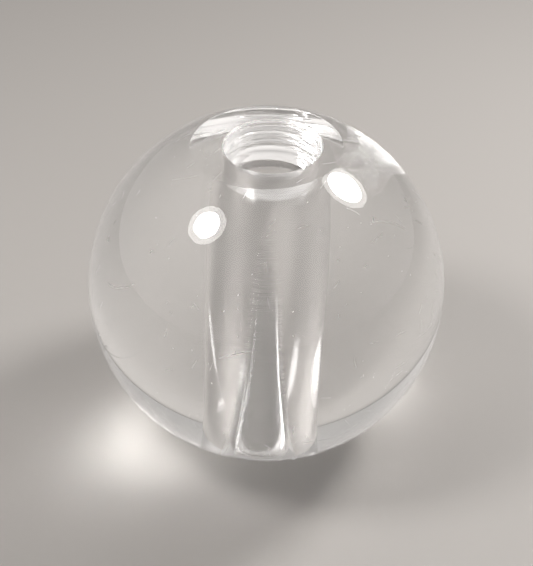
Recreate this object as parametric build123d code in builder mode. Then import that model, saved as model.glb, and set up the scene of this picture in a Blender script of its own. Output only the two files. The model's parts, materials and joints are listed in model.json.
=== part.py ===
"""A clear solid ball with a flat land on top, a flat to stand on and a blind tapering bore.

It is one piece. The bore is straight just inside its mouth and then narrows slowly to its floor,
and its axis leans a little, through the ball's centre. The origin is the centre of the bottom flat,
+Z is up, the bore leans towards +X, and all sizes are in millimetres.
"""

import os
from math import cos, radians, sin, sqrt

from build123d import *

# Driving dimensions
ball_diameter = 76.2
top_land_diameter = 30.5
foot_diameter = 30.5
mouth_diameter = 19.5
mouth_straight_length = 8.0
bore_end_diameter = 12.4
bore_lean_degrees = 2.0
floor_thickness = 5.8
floor_corner_radius = 2.2
mouth_chamfer = 0.25
land_edge_radius = 0.6
foot_edge_radius = 0.5

# Worked out from the driving dimensions
ball_radius = ball_diameter / 2
land_radius = top_land_diameter / 2
foot_radius = foot_diameter / 2
mouth_radius = mouth_diameter / 2
end_radius = bore_end_diameter / 2
centre_height = sqrt(ball_radius**2 - foot_radius**2)
land_above_centre = sqrt(ball_radius**2 - land_radius**2)
overall_height = centre_height + land_above_centre

# The bore's own frame: its origin is the ball's centre and its Y runs up the bore's axis.
lean = radians(bore_lean_degrees)
bore_direction = (sin(lean), 0, cos(lean))
bore_axis = Axis((0, 0, centre_height), bore_direction)
bore_plane = Plane(
    origin=(0, 0, centre_height),
    x_dir=(cos(lean), 0, -sin(lean)),
    z_dir=(0, -1, 0),
)

# Heights along the bore's axis, from the ball's centre
bore_floor = floor_thickness - centre_height
taper_start = land_above_centre - mouth_straight_length
cut_top = land_above_centre + mouth_radius

# The narrowing wall is one large arc that leaves the straight stretch smoothly.
taper_length = taper_start - bore_floor
narrowing = mouth_radius - end_radius
wall_arc_radius = (taper_length**2 + narrowing**2) / (2 * narrowing)

with BuildPart() as clear_ball:
    # Half of the ball's section: up the axis, out along the land, down the sphere, in along the foot.
    with BuildSketch(Plane.XZ) as half_section:
        with BuildLine():
            Line((0, 0), (0, overall_height))
            Line((0, overall_height), (land_radius, overall_height))
            ThreePointArc(
                (land_radius, overall_height),
                (ball_radius, centre_height),
                (foot_radius, 0),
            )
            Line((foot_radius, 0), (0, 0))
        make_face()
    revolve(axis=Axis.Z)

    # The sharp rims of the two flats are broken to a small round.
    rims = clear_ball.edges().filter_by(GeomType.CIRCLE).sort_by(Axis.Z)
    fillet(rims[-1], radius=land_edge_radius)
    fillet(rims[0], radius=foot_edge_radius)

    # Half of the bore's section: a flat floor, the narrowing wall and the straight stretch to the mouth.
    with BuildSketch(bore_plane) as bore_section:
        with BuildLine():
            Line((0, bore_floor), (end_radius, bore_floor))
            RadiusArc((end_radius, bore_floor), (mouth_radius, taper_start), -wall_arc_radius)
            Line((mouth_radius, taper_start), (mouth_radius, cut_top))
            Line((mouth_radius, cut_top), (0, cut_top))
            Line((0, cut_top), (0, bore_floor))
        make_face()
        floor_corner = bore_section.vertices().sort_by(Axis.Y)[:2].sort_by(Axis.X)[-1]
        fillet(floor_corner, radius=floor_corner_radius)
    revolve(axis=bore_axis, mode=Mode.SUBTRACT)

    # The mouth of the bore has a narrow chamfer.
    land = clear_ball.faces().filter_by(GeomType.PLANE).sort_by(Axis.Z)[-1]
    mouth = land.inner_wires()[0].edges()
    chamfer(mouth, length=mouth_chamfer)

clear_ball.part.label = "clear_ball"

os.makedirs("parts", exist_ok=True)
export_step(clear_ball.part, "parts/clear_ball.step")

print("overall height", round(overall_height, 3))
print("ball centre height", round(centre_height, 3))
print("wall arc radius", round(wall_arc_radius, 1))
print("volume cm3", round(clear_ball.part.volume / 1000, 3))
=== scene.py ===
"""A drilled clear acrylic ball on a plain pale floor, under soft studio light. All sizes are in metres.

The ball is one closed mesh of rings: foot, sphere and land about its upright axis, mouth and bore about the
bore's own leaning one. The outside is polished and finely scratched, the bore keeps its turning marks,
and the mouth's chamfer is cut and not polished.
"""

import json
import math
import random

import bpy
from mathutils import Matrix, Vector


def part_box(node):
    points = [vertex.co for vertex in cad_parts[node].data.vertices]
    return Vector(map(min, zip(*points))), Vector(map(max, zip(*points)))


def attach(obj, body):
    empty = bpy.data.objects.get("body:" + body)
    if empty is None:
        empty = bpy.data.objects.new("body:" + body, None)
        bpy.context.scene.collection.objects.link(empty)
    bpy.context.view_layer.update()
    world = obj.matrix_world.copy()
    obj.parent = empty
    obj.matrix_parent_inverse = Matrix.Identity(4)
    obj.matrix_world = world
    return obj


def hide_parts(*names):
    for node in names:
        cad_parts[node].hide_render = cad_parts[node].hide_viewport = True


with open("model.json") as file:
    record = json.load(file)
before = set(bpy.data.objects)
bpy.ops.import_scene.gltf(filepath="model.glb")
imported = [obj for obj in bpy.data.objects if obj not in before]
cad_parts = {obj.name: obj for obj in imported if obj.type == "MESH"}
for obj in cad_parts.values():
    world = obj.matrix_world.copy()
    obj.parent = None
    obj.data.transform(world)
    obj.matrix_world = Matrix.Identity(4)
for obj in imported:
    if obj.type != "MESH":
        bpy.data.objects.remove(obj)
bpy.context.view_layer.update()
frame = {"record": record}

MM = 0.001

# ---------------------------------------------------------------- sizes, from the frame
low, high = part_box("clear_ball")
mount = {m["name"]: m for m in frame["record"]["mounts"]}["bore"]

HEIGHT = high.z
BALL_RADIUS = round((high.y - low.y) / 2, 4)
CENTRE = Vector((0, 0, HEIGHT / 2))
RIM_ROUND = 0.6 * MM
FOOT_ROUND = 0.5 * MM

# The bore's axis goes through the ball's centre, and its heights are measured from there along it
BORE_AXIS = Vector(mount["axis"]).normalized()
BORE_RADIUS = mount["dims"]["r_mm"] * MM
MOUTH_CHAMFER = 0.25 * MM
MOUTH_STRAIGHT = 8.0 * MM
BORE_END_RADIUS = 6.2 * MM
FLOOR_THICKNESS = 5.8 * MM
FLOOR_CORNER = 2.2 * MM
TAPER_START = HEIGHT / 2 - MOUTH_STRAIGHT
BORE_FLOOR = FLOOR_THICKNESS - HEIGHT / 2
NARROWING = BORE_RADIUS - BORE_END_RADIUS
WALL_ARC = ((TAPER_START - BORE_FLOOR) ** 2 + NARROWING**2) / (2 * NARROWING)

# Grooves that turning left in the wall, deepest just inside the mouth
RING_DEPTH = 0.004 * MM
RING_PITCH = 1.1 * MM
RING_REACH = 14 * MM
RING_SEED = 3

# Closer marks all down the wall, too fine for the mesh
TURNED_DEPTH = 0.01 * MM
TURNED_ROUGHNESS = 0.05

AROUND = 256
SPHERE_STEPS = 140
RIM_STEPS = 8
GROOVE_STEPS = 8
WALL_STEPS = 60
CORNER_STEPS = 16
SHARP_ANGLE = math.radians(30)
NIL = 1e-9

# Where the flats have rings, as shares of the way across, close together beside an edge
FOOT_SHARES = (0.25, 0.5, 0.75, 0.95, 0.995)
LAND_SHARES = (0.01, 0.1, 0.5, 0.9, 0.99)
BORE_FLOOR_SHARES = (0.98, 0.9, 0.6, 0.3, 0)

# The ball's parts, in the order of their materials
SLOTS = ("outside", "bore", "edge")


# ---------------------------------------------------------------- the ball's mesh
def circle(radius, height):
    """A ring of points about the ball's upright axis, or one point where the radius is nil."""
    if radius < NIL:
        return [Vector((0, 0, height))]
    turn = [2 * math.pi * i / AROUND for i in range(AROUND)]
    return [Vector((radius * math.cos(a), radius * math.sin(a), height)) for a in turn]


def bore_circle(radius, along):
    """A ring square to the bore's axis, at a distance along it from the ball's centre."""
    side = Vector((0, 1, 0)).cross(BORE_AXIS).normalized()
    other = BORE_AXIS.cross(side)
    centre = CENTRE + BORE_AXIS * along
    if radius < NIL:
        return [centre]
    turn = [2 * math.pi * i / AROUND for i in range(AROUND)]
    return [centre + (side * math.cos(a) + other * math.sin(a)) * radius for a in turn]


def onto_land(ring):
    """Slides a ring's points along the bore until they lie on the land."""
    return [p + BORE_AXIS * ((HEIGHT - p.z) / BORE_AXIS.z) for p in ring]


def between(first, second, share):
    """A ring part of the way from one ring to another."""
    return [a.lerp(b, share) for a, b in zip(first, second)]


def rim_arc(round_radius, steps):
    """Radius, height below the flat and angle of the small round between a flat and the sphere."""
    inside = BALL_RADIUS - round_radius
    drop = CENTRE.z - round_radius
    reach = math.sqrt(inside**2 - drop**2)
    stop = math.atan2(drop, reach)
    for i in range(steps + 1):
        a = math.pi / 2 + (stop - math.pi / 2) * i / steps
        yield reach + round_radius * math.cos(a), round_radius * (1 - math.sin(a)), a


def ball_rings():
    """The rings, each with its part, from the foot's middle over the outside to the bore's floor."""
    rings = [(circle(0, 0), "outside")]
    foot_arc = list(rim_arc(FOOT_ROUND, RIM_STEPS))
    land_arc = list(rim_arc(RIM_ROUND, RIM_STEPS))
    foot_edge = foot_arc[0][0]
    for share in FOOT_SHARES:
        rings.append((circle(foot_edge * share, 0), "outside"))
    for radius, rise, _ in foot_arc:
        rings.append((circle(radius, rise), "outside"))

    start, stop = -foot_arc[-1][2], land_arc[-1][2]
    for i in range(1, SPHERE_STEPS):
        a = start + (stop - start) * i / SPHERE_STEPS
        ring = circle(BALL_RADIUS * math.cos(a), CENTRE.z + BALL_RADIUS * math.sin(a))
        rings.append((ring, "outside"))

    for radius, drop, _ in reversed(land_arc):
        rings.append((circle(radius, HEIGHT - drop), "outside"))
    rim = circle(land_arc[0][0], HEIGHT)
    mouth = onto_land(bore_circle(BORE_RADIUS + MOUTH_CHAMFER, 0))
    for share in LAND_SHARES:
        rings.append((between(rim, mouth, share), "outside"))
    rings.append((mouth, "outside"))
    wall_top = [p - BORE_AXIS * MOUTH_CHAMFER for p in onto_land(bore_circle(BORE_RADIUS, 0))]
    rings.append((wall_top, "edge"))
    for radius, along in bore_wall():
        rings.append((bore_circle(radius, along), "bore"))
    return rings


def wall_radius(along):
    """The bore's radius: straight inside the mouth, then narrowing along one large arc."""
    below = max(0, TAPER_START - along)
    return BORE_RADIUS - WALL_ARC + math.sqrt(WALL_ARC**2 - below**2)


def bore_wall():
    """Radius and place of the bore's rings, from its mouth down: grooves, plain wall, corner and floor."""
    pick = random.Random(RING_SEED)
    tilt = math.acos(BORE_AXIS.z)
    top = HEIGHT / 2 - BORE_RADIUS * math.tan(tilt) - 2 * MOUTH_CHAMFER
    depth = 0
    while depth < RING_REACH:
        pitch = RING_PITCH * pick.uniform(0.5, 1.4)
        fade = (1 - depth / RING_REACH) ** 0.7
        groove = RING_DEPTH * fade * pick.uniform(0.3, 1.0)
        for i in range(GROOVE_STEPS):
            share = i / GROOVE_STEPS
            along = top - depth - pitch * share
            yield wall_radius(along) + groove * math.sin(math.pi * share) ** 2, along
        depth += pitch

    # The corner is a round that meets the wall's arc and the floor smoothly
    corner_along = BORE_FLOOR + FLOOR_CORNER
    lean = math.asin((TAPER_START - corner_along) / (WALL_ARC - FLOOR_CORNER))
    corner_radius = BORE_RADIUS - WALL_ARC + (WALL_ARC - FLOOR_CORNER) * math.cos(lean)
    wall_foot = TAPER_START - WALL_ARC * math.sin(lean)
    for i in range(WALL_STEPS):
        along = top - depth + (wall_foot - top + depth) * i / WALL_STEPS
        yield wall_radius(along), along
    for i in range(CORNER_STEPS + 1):
        a = lean + (math.pi / 2 - lean) * i / CORNER_STEPS
        yield corner_radius + FLOOR_CORNER * math.cos(a), corner_along - FLOOR_CORNER * math.sin(a)
    for share in BORE_FLOOR_SHARES:
        yield corner_radius * share, BORE_FLOOR


def ball_mesh():
    """Joins the rings into one closed mesh, whose parts each take their own material."""
    points, faces, slots, starts = [], [], [], []
    rings = ball_rings()
    for ring, _ in rings:
        starts.append(len(points))
        points += ring
    for k in range(1, len(rings)):
        (a, _), (b, part) = rings[k - 1], rings[k]
        p, q = starts[k - 1], starts[k]
        for i in range(AROUND):
            j = (i + 1) % AROUND
            if len(a) == 1:
                face = (p, q + j, q + i)
            elif len(b) == 1:
                face = (p + i, p + j, q)
            else:
                face = (p + i, p + j, q + j, q + i)
            faces.append(face)
            slots.append(SLOTS.index(part))
    mesh = bpy.data.meshes.new("ball_body")
    mesh.from_pydata(points, [], faces)
    mesh.polygons.foreach_set("material_index", slots)
    mesh.shade_smooth()
    mesh.set_sharp_from_angle(angle=SHARP_ANGLE)
    mesh.update()
    return mesh


# ---------------------------------------------------------------- node helpers
class Nodes:
    """Short ways to add and link shader nodes."""

    def __init__(self, tree):
        self.tree = tree

    def put(self, value, socket):
        if isinstance(value, bpy.types.NodeSocket):
            self.tree.links.new(value, socket)
        else:
            socket.default_value = value

    def math(self, operation, a, b=0.0):
        node = self.tree.nodes.new("ShaderNodeMath")
        node.operation = operation
        self.put(a, node.inputs[0])
        self.put(b, node.inputs[1])
        return node.outputs[0]

    def vector(self, operation, a, b=(0, 0, 0)):
        node = self.tree.nodes.new("ShaderNodeVectorMath")
        node.operation = operation
        self.put(a, node.inputs[0])
        self.put(b, node.inputs[1])
        return node.outputs["Value" if operation == "DOT_PRODUCT" else "Vector"]

    def noise(self, where, scale, detail=2.0, roughness=0.5):
        node = self.tree.nodes.new("ShaderNodeTexNoise")
        self.put(where, node.inputs["Vector"])
        node.inputs["Scale"].default_value = scale
        node.inputs["Detail"].default_value = detail
        node.inputs["Roughness"].default_value = roughness
        return node.outputs["Fac"]

    def ramp(self, value, low, high, out_low=0.0, out_high=1.0):
        node = self.tree.nodes.new("ShaderNodeMapRange")
        node.interpolation_type = "SMOOTHSTEP"
        self.put(value, node.inputs["Value"])
        names = ("From Min", "From Max", "To Min", "To Max")
        for name, number in zip(names, (low, high, out_low, out_high)):
            node.inputs[name].default_value = number
        return node.outputs["Result"]

    def bump(self, height, distance, strength=1, normal=None):
        node = self.tree.nodes.new("ShaderNodeBump")
        node.inputs["Strength"].default_value = strength
        node.inputs["Distance"].default_value = distance
        self.put(height, node.inputs["Height"])
        if normal is not None:
            self.put(normal, node.inputs["Normal"])
        return node.outputs["Normal"]


def scratches(n, where, width, length, cell, seed, share):
    """Straight fine scratches, one to a cell at most, each in its own direction along the surface."""
    cells = n.tree.nodes.new("ShaderNodeTexVoronoi")
    moved = n.vector("ADD", where, (seed, seed * 0.7, -seed))
    n.put(moved, cells.inputs["Vector"])
    cells.inputs["Scale"].default_value = 1 / cell
    local = n.vector("SUBTRACT", moved, cells.outputs["Position"])
    normal = n.tree.nodes.new("ShaderNodeNewGeometry").outputs["Normal"]
    random_way = n.vector("SUBTRACT", cells.outputs["Color"], (0.5, 0.5, 0.5))
    along = n.vector("NORMALIZE", n.vector("CROSS_PRODUCT", normal, random_way))
    across = n.vector("CROSS_PRODUCT", normal, along)
    off = n.math("ABSOLUTE", n.vector("DOT_PRODUCT", local, across))
    run = n.math("ABSOLUTE", n.vector("DOT_PRODUCT", local, along))
    line = n.ramp(off, width * 0.4, width, 1.0, 0.0)
    end = n.ramp(run, length * 0.6, length, 1.0, 0.0)
    split = n.tree.nodes.new("ShaderNodeSeparateColor")
    n.put(cells.outputs["Color"], split.inputs[0])
    kept = n.math("LESS_THAN", split.outputs[0], share)
    strength = n.math("MULTIPLY", kept, split.outputs[1])
    return n.math("MULTIPLY", n.math("MULTIPLY", line, end), strength)


ACRYLIC_COLOUR = (0.985, 0.985, 0.985, 1)
ACRYLIC_IOR = 1.49

# Half width, half length, cell size, seed and share of the cells that hold one
LONG_SCRATCHES = (0.05 * MM, 5 * MM, 13 * MM, 0.31, 0.55)
SHORT_SCRATCHES = (0.045 * MM, 1.6 * MM, 5 * MM, 0.83, 0.5)
NICKS = (0.07 * MM, 0.22 * MM, 2.6 * MM, 0.57, 0.3)
SCRATCH_ROUGHNESS = 0.4
SCRATCH_BUMP = -0.01 * MM
SCRATCH_BUMP_STRENGTH = 0.6

WAVE_LENGTH = 16 * MM
WAVE_HEIGHT = 0.02 * MM
HAZE_PATCH = 9 * MM
HAZE_ROUGHNESS = 0.02

FINE_MARK_PITCH = 0.35 * MM
BROAD_MARK_PITCH = 1.6 * MM
BROAD_MARK_SHARE = 1.5

CUT_PATCH = 1.2 * MM
CUT_ROUGHNESS = (0.35, 0.6)


def acrylic(name):
    """A clear acrylic material, its Principled node and the node helper."""
    material = bpy.data.materials.new(name)
    material.use_nodes = True
    tree = material.node_tree
    shader = tree.nodes["Principled BSDF"]
    shader.inputs["Base Color"].default_value = ACRYLIC_COLOUR
    shader.inputs["Transmission Weight"].default_value = 1.0
    shader.inputs["IOR"].default_value = ACRYLIC_IOR
    return material, shader, Nodes(tree)


def polished_acrylic():
    """The outside: buffed clear, with faint waves, fine scratches and a few specks."""
    material, shader, n = acrylic("polished_acrylic")
    where = n.tree.nodes.new("ShaderNodeTexCoord").outputs["Object"]
    long_marks = scratches(n, where, *LONG_SCRATCHES)
    short_marks = scratches(n, where, *SHORT_SCRATCHES)
    nicks = scratches(n, where, *NICKS)
    marks = n.math("MAXIMUM", n.math("MAXIMUM", long_marks, short_marks), nicks)
    waves = n.noise(where, 1 / WAVE_LENGTH, 2)
    haze = n.ramp(n.noise(where, 1 / HAZE_PATCH, 3), 0.45, 0.75, 0, HAZE_ROUGHNESS)
    rough = n.math("MAXIMUM", n.math("MULTIPLY", marks, SCRATCH_ROUGHNESS), haze)
    n.put(rough, shader.inputs["Roughness"])
    wavy = n.bump(waves, WAVE_HEIGHT)
    cut = n.bump(marks, SCRATCH_BUMP, SCRATCH_BUMP_STRENGTH, wavy)
    n.put(cut, shader.inputs["Normal"])
    return material


def turned_acrylic():
    """The bore: the same acrylic, with close turning marks that scatter light up and down the wall."""
    material, shader, n = acrylic("turned_acrylic")
    where = n.tree.nodes.new("ShaderNodeTexCoord").outputs["Object"]
    height = n.vector("MULTIPLY", where, (0, 0, 1))
    fine = n.noise(height, 1 / FINE_MARK_PITCH, 3, 0.7)
    broad = n.noise(height, 1 / BROAD_MARK_PITCH, 1)
    marks = n.math("ADD", fine, n.math("MULTIPLY", broad, BROAD_MARK_SHARE))
    n.put(n.bump(marks, TURNED_DEPTH), shader.inputs["Normal"])
    shader.inputs["Roughness"].default_value = TURNED_ROUGHNESS
    return material


def cut_acrylic():
    """The mouth's chamfer: cut and not polished, so it catches the light as a thin pale ring."""
    material, shader, n = acrylic("cut_acrylic")
    where = n.tree.nodes.new("ShaderNodeTexCoord").outputs["Object"]
    patches = n.ramp(n.noise(where, 1 / CUT_PATCH, 3), 0.3, 0.7, *CUT_ROUGHNESS)
    n.put(patches, shader.inputs["Roughness"])
    return material


def clear_ball():
    ball = bpy.data.objects.new("ball_body", ball_mesh())
    bpy.context.scene.collection.objects.link(ball)
    ball.data.materials.append(polished_acrylic())
    ball.data.materials.append(turned_acrylic())
    ball.data.materials.append(cut_acrylic())
    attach(ball, "root")
    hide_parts("clear_ball")


# ---------------------------------------------------------------- the studio
FLOOR_SIDE = 3.0
FLOOR_HEIGHT = -0.1 * MM
FLOOR_COLOUR = (0.18, 0.172, 0.164, 1)
FLOOR_ROUGHNESS = 0.75
ROOM_COLOUR = (1.0, 0.965, 0.935, 1)
ROOM_LIGHT = 0.42
CEILING_LIGHT = 1.1
CEILING_START = 0.25
CEILING_FULL = 1.0

# Direction from the ball, distance, width, power and colour of each round soft lamp
LAMP_DISTANCE = 10 * BALL_RADIUS
WARM_WHITE = (1.0, 0.98, 0.96)
FRONT_LAMP = ((-0.546, -0.17, 0.82), LAMP_DISTANCE, 0.1, 1.1, WARM_WHITE)
BACK_LAMP = ((0.621, 0.328, 0.712), LAMP_DISTANCE, 0.12, 1.9, WARM_WHITE)
# Each lamp's wider and dimmer surround
FRONT_GLOW = (FRONT_LAMP[0], 1.01 * LAMP_DISTANCE, 0.15, 0.4, WARM_WHITE)
BACK_GLOW = (BACK_LAMP[0], 1.01 * LAMP_DISTANCE, 0.165, 0.4, WARM_WHITE)
# Soft glows on the room's walls, which the ball's edges mirror: direction, where it starts as the
# cosine of the angle from that direction, and strength
LEFT_GLOW = ((-0.93, 0.1, 0.34), 0.5, 0.35)
RIGHT_GLOW = ((0.93, 0.1, 0.34), 0.7, 0.2)

CAMERA_ELEVATION = math.radians(39)
CAMERA_DISTANCE = 6.5 * BALL_RADIUS
BALL_SHARE = 178.2 / 566
SENSOR = 36
CLIP_START = 0.01

BOUNCES = 256
GLOSSY_BLUR = 0.3


def floor():
    side = FLOOR_SIDE / 2
    mesh = bpy.data.meshes.new("floor")
    corners = [(x * side, y * side, FLOOR_HEIGHT) for x, y in ((-1, -1), (1, -1), (1, 1), (-1, 1))]
    mesh.from_pydata(corners, [], [(0, 1, 2, 3)])
    plane = bpy.data.objects.new("floor", mesh)
    bpy.context.scene.collection.objects.link(plane)
    material = bpy.data.materials.new("pale_floor")
    material.use_nodes = True
    shader = material.node_tree.nodes["Principled BSDF"]
    shader.inputs["Base Color"].default_value = FLOOR_COLOUR
    shader.inputs["Roughness"].default_value = FLOOR_ROUGHNESS
    mesh.materials.append(material)


def lamp(name, direction, distance, width, power, colour):
    """A round soft lamp that shines at the ball."""
    data = bpy.data.lights.new(name, "AREA")
    data.shape = "DISK"
    data.size = width
    data.energy = power
    data.color = colour
    obj = bpy.data.objects.new(name, data)
    bpy.context.scene.collection.objects.link(obj)
    way = Vector(direction).normalized()
    obj.location = CENTRE + way * distance
    obj.rotation_euler = (-way).to_track_quat("-Z", "Y").to_euler()


def room():
    """Even soft light from all round, as bright as the floor at the skyline and brighter overhead."""
    world = bpy.data.worlds.new("room")
    world.use_nodes = True
    n = Nodes(world.node_tree)
    way = world.node_tree.nodes.new("ShaderNodeTexCoord").outputs["Generated"]
    height = world.node_tree.nodes.new("ShaderNodeSeparateXYZ")
    n.put(way, height.inputs[0])
    overhead = n.ramp(height.outputs["Z"], CEILING_START, CEILING_FULL, ROOM_LIGHT, CEILING_LIGHT)
    strength = overhead
    for direction, start, extra in (LEFT_GLOW, RIGHT_GLOW):
        near = n.vector("DOT_PRODUCT", way, Vector(direction).normalized())
        strength = n.math("ADD", strength, n.ramp(near, start, 1.0, 0.0, extra))
    background = world.node_tree.nodes["Background"]
    background.inputs["Color"].default_value = ROOM_COLOUR
    n.put(strength, background.inputs["Strength"])
    bpy.context.scene.world = world


def camera():
    data = bpy.data.cameras.new("camera")
    data.sensor_width = SENSOR
    ratio = CAMERA_DISTANCE / BALL_RADIUS
    data.lens = SENSOR * BALL_SHARE * math.sqrt(ratio**2 - 1)
    data.clip_start = CLIP_START
    obj = bpy.data.objects.new("camera", data)
    bpy.context.scene.collection.objects.link(obj)
    back = Vector((0, -math.cos(CAMERA_ELEVATION), math.sin(CAMERA_ELEVATION)))
    obj.location = CENTRE + back * CAMERA_DISTANCE
    obj.rotation_euler = (-back).to_track_quat("-Z", "Y").to_euler()
    bpy.context.scene.camera = obj


def light_paths():
    """Enough bounces for light that crosses the ball several times, and the plain view transform."""
    scene = bpy.context.scene
    scene.cycles.max_bounces = BOUNCES
    scene.cycles.transmission_bounces = BOUNCES
    scene.cycles.glossy_bounces = BOUNCES
    scene.cycles.blur_glossy = GLOSSY_BLUR
    scene.view_settings.view_transform = "Standard"


camera()
clear_ball()
floor()
lamp("front_lamp", *FRONT_LAMP)
lamp("back_lamp", *BACK_LAMP)
lamp("front_glow", *FRONT_GLOW)
lamp("back_glow", *BACK_GLOW)
room()
light_paths()
